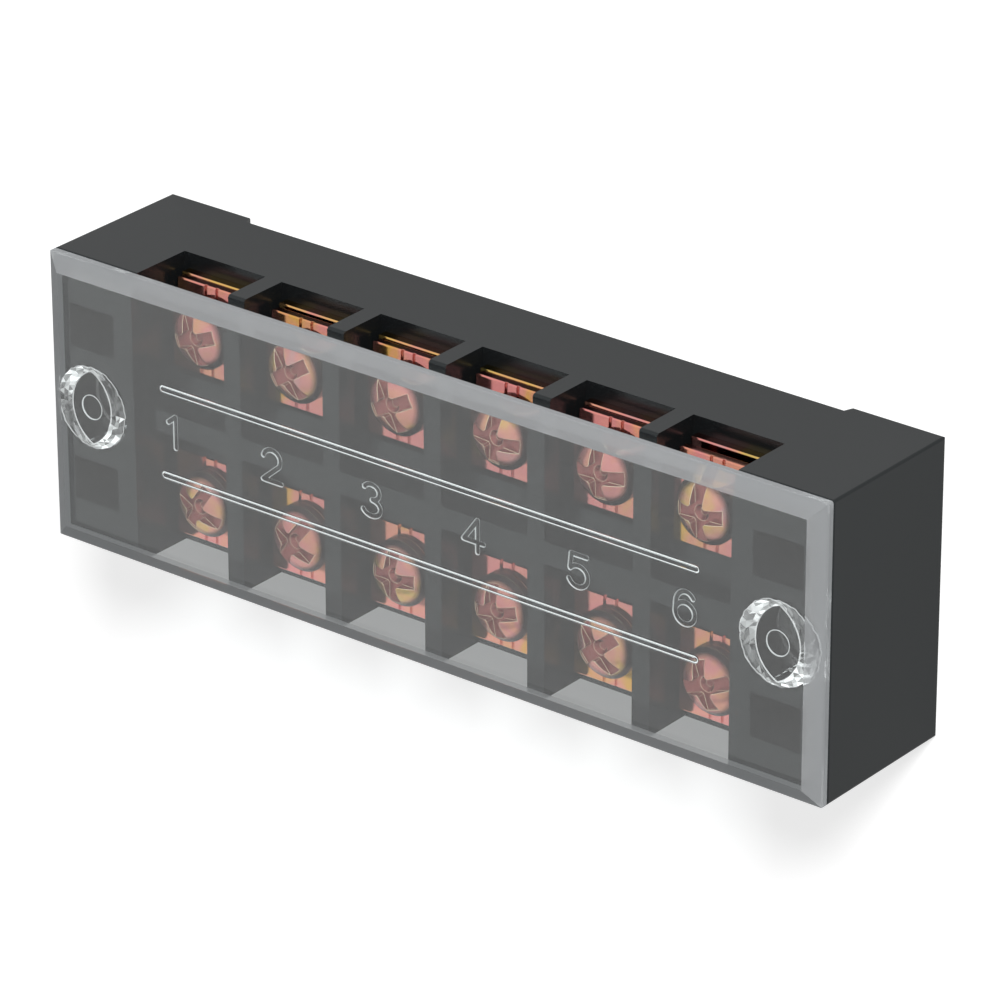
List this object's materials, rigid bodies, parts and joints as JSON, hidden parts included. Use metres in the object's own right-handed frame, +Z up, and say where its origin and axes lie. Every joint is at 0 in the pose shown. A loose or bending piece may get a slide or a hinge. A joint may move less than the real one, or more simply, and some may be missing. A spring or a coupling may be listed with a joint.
{
  "type": "barrier terminal strip",
  "caption": "Dual-row barrier terminal strip with clamp screws, square wire washers, bridging contact plates and a clear cover held by two split posts.",
  "frame": {"origin": "middle of the mounting surface, under the two end feet", "axes": "+X along the strip, +Y across it towards screw row a, +Z up, out through the cover"},
  "size_m": [0.1058, 0.0348, 0.0217],
  "materials": {
    "black_plastic": "satin, moulded black thermoset",
    "clear_plastic": "clear moulded plastic with a faint grey haze",
    "plated_plate": "plated brass strip, semi-gloss",
    "plated_washer": "yellow-passivated zinc, iridescent",
    "plated_screw": "yellow-passivated zinc, iridescent"
  },
  "bodies": {
    "housing": {"housing": "black_plastic", "contact_plate_1": "plated_plate", "contact_plate_2": "plated_plate", "contact_plate_3": "plated_plate", "contact_plate_4": "plated_plate", "contact_plate_5": "plated_plate", "contact_plate_6": "plated_plate"},
    "cover": {"cover": "clear_plastic"},
    "washer_a1": {"washer_a1": "plated_washer"},
    "screw_a1": {"screw_a1": "plated_screw"},
    "washer_a2": {"washer_a2": "plated_washer"},
    "screw_a2": {"screw_a2": "plated_screw"},
    "washer_a3": {"washer_a3": "plated_washer"},
    "screw_a3": {"screw_a3": "plated_screw"},
    "washer_a4": {"washer_a4": "plated_washer"},
    "screw_a4": {"screw_a4": "plated_screw"},
    "washer_a5": {"washer_a5": "plated_washer"},
    "screw_a5": {"screw_a5": "plated_screw"},
    "washer_a6": {"washer_a6": "plated_washer"},
    "screw_a6": {"screw_a6": "plated_screw"},
    "washer_b1": {"washer_b1": "plated_washer"},
    "screw_b1": {"screw_b1": "plated_screw"},
    "washer_b2": {"washer_b2": "plated_washer"},
    "screw_b2": {"screw_b2": "plated_screw"},
    "washer_b3": {"washer_b3": "plated_washer"},
    "screw_b3": {"screw_b3": "plated_screw"},
    "washer_b4": {"washer_b4": "plated_washer"},
    "screw_b4": {"screw_b4": "plated_screw"},
    "washer_b5": {"washer_b5": "plated_washer"},
    "screw_b5": {"screw_b5": "plated_screw"},
    "washer_b6": {"washer_b6": "plated_washer"},
    "screw_b6": {"screw_b6": "plated_screw"}
  },
  "joints": [
    {"name": "cover_lift", "type": "slide", "parent": "housing", "child": "cover", "axis": [0, 0, 1], "range_m": [0, 0.03]},
    {"name": "clamp_a1_lift", "type": "slide", "parent": "housing", "child": "washer_a1", "axis": [0, 0, 1], "range_m": [-0.00021, 0.00217]},
    {"name": "screw_a1_turn", "type": "hinge", "parent": "washer_a1", "child": "screw_a1", "pos_m": [-0.035, 0.0102, 0.01411], "axis": [0, 0, 1], "range_deg": [-108.02, 1116.02]},
    {"name": "clamp_a2_lift", "type": "slide", "parent": "housing", "child": "washer_a2", "axis": [0, 0, 1], "range_m": [-0.0007, 0.00168]},
    {"name": "screw_a2_turn", "type": "hinge", "parent": "washer_a2", "child": "screw_a2", "pos_m": [-0.021, 0.0102, 0.0146], "axis": [0, 0, 1], "range_deg": [-360.02, 864.02]},
    {"name": "clamp_a3_lift", "type": "slide", "parent": "housing", "child": "washer_a3", "axis": [0, 0, 1], "range_m": [-0.00042, 0.00196]},
    {"name": "screw_a3_turn", "type": "hinge", "parent": "washer_a3", "child": "screw_a3", "pos_m": [-0.007, 0.0102, 0.01432], "axis": [0, 0, 1], "range_deg": [-216.02, 1008.02]},
    {"name": "clamp_a4_lift", "type": "slide", "parent": "housing", "child": "washer_a4", "axis": [0, 0, 1], "range_m": [-0.00021, 0.00217]},
    {"name": "screw_a4_turn", "type": "hinge", "parent": "washer_a4", "child": "screw_a4", "pos_m": [0.007, 0.0102, 0.01411], "axis": [0, 0, 1], "range_deg": [-108.02, 1116.02]},
    {"name": "clamp_a5_lift", "type": "slide", "parent": "housing", "child": "washer_a5", "axis": [0, 0, 1], "range_m": [-0.00035, 0.00203]},
    {"name": "screw_a5_turn", "type": "hinge", "parent": "washer_a5", "child": "screw_a5", "pos_m": [0.021, 0.0102, 0.01425], "axis": [0, 0, 1], "range_deg": [-180.02, 1044.02]},
    {"name": "clamp_a6_lift", "type": "slide", "parent": "housing", "child": "washer_a6", "axis": [0, 0, 1], "range_m": [-0.00147, 0.00091]},
    {"name": "screw_a6_turn", "type": "hinge", "parent": "washer_a6", "child": "screw_a6", "pos_m": [0.035, 0.0102, 0.01537], "axis": [0, 0, 1], "range_deg": [-756.02, 468.02]},
    {"name": "clamp_b1_lift", "type": "slide", "parent": "housing", "child": "washer_b1", "axis": [0, 0, 1], "range_m": [-0.00014, 0.00224]},
    {"name": "screw_b1_turn", "type": "hinge", "parent": "washer_b1", "child": "screw_b1", "pos_m": [-0.035, -0.0102, 0.01404], "axis": [0, 0, 1], "range_deg": [-72.02, 1152.02]},
    {"name": "clamp_b2_lift", "type": "slide", "parent": "housing", "child": "washer_b2", "axis": [0, 0, 1], "range_m": [-0.00035, 0.00203]},
    {"name": "screw_b2_turn", "type": "hinge", "parent": "washer_b2", "child": "screw_b2", "pos_m": [-0.021, -0.0102, 0.01425], "axis": [0, 0, 1], "range_deg": [-180.02, 1044.02]},
    {"name": "clamp_b3_lift", "type": "slide", "parent": "housing", "child": "washer_b3", "axis": [0, 0, 1], "range_m": [-0.00028, 0.0021]},
    {"name": "screw_b3_turn", "type": "hinge", "parent": "washer_b3", "child": "screw_b3", "pos_m": [-0.007, -0.0102, 0.01418], "axis": [0, 0, 1], "range_deg": [-144.02, 1080.02]},
    {"name": "clamp_b4_lift", "type": "slide", "parent": "housing", "child": "washer_b4", "axis": [0, 0, 1], "range_m": [-0.00014, 0.00224]},
    {"name": "screw_b4_turn", "type": "hinge", "parent": "washer_b4", "child": "screw_b4", "pos_m": [0.007, -0.0102, 0.01404], "axis": [0, 0, 1], "range_deg": [-72.02, 1152.02]},
    {"name": "clamp_b5_lift", "type": "slide", "parent": "housing", "child": "washer_b5", "axis": [0, 0, 1], "range_m": [-0.00021, 0.00217]},
    {"name": "screw_b5_turn", "type": "hinge", "parent": "washer_b5", "child": "screw_b5", "pos_m": [0.021, -0.0102, 0.01411], "axis": [0, 0, 1], "range_deg": [-108.02, 1116.02]},
    {"name": "clamp_b6_lift", "type": "slide", "parent": "housing", "child": "washer_b6", "axis": [0, 0, 1], "range_m": [-0.00014, 0.00224]},
    {"name": "screw_b6_turn", "type": "hinge", "parent": "washer_b6", "child": "screw_b6", "pos_m": [0.035, -0.0102, 0.01404], "axis": [0, 0, 1], "range_deg": [-72.02, 1152.02]}
  ],
  "couplings": [
    {"joint": "screw_a1_turn", "follows": "clamp_a1_lift", "rad_per_m": 8976},
    {"joint": "screw_a2_turn", "follows": "clamp_a2_lift", "rad_per_m": 8976},
    {"joint": "screw_a3_turn", "follows": "clamp_a3_lift", "rad_per_m": 8976},
    {"joint": "screw_a4_turn", "follows": "clamp_a4_lift", "rad_per_m": 8976},
    {"joint": "screw_a5_turn", "follows": "clamp_a5_lift", "rad_per_m": 8976},
    {"joint": "screw_a6_turn", "follows": "clamp_a6_lift", "rad_per_m": 8976},
    {"joint": "screw_b1_turn", "follows": "clamp_b1_lift", "rad_per_m": 8976},
    {"joint": "screw_b2_turn", "follows": "clamp_b2_lift", "rad_per_m": 8976},
    {"joint": "screw_b3_turn", "follows": "clamp_b3_lift", "rad_per_m": 8976},
    {"joint": "screw_b4_turn", "follows": "clamp_b4_lift", "rad_per_m": 8976},
    {"joint": "screw_b5_turn", "follows": "clamp_b5_lift", "rad_per_m": 8976},
    {"joint": "screw_b6_turn", "follows": "clamp_b6_lift", "rad_per_m": 8976}
  ]
}
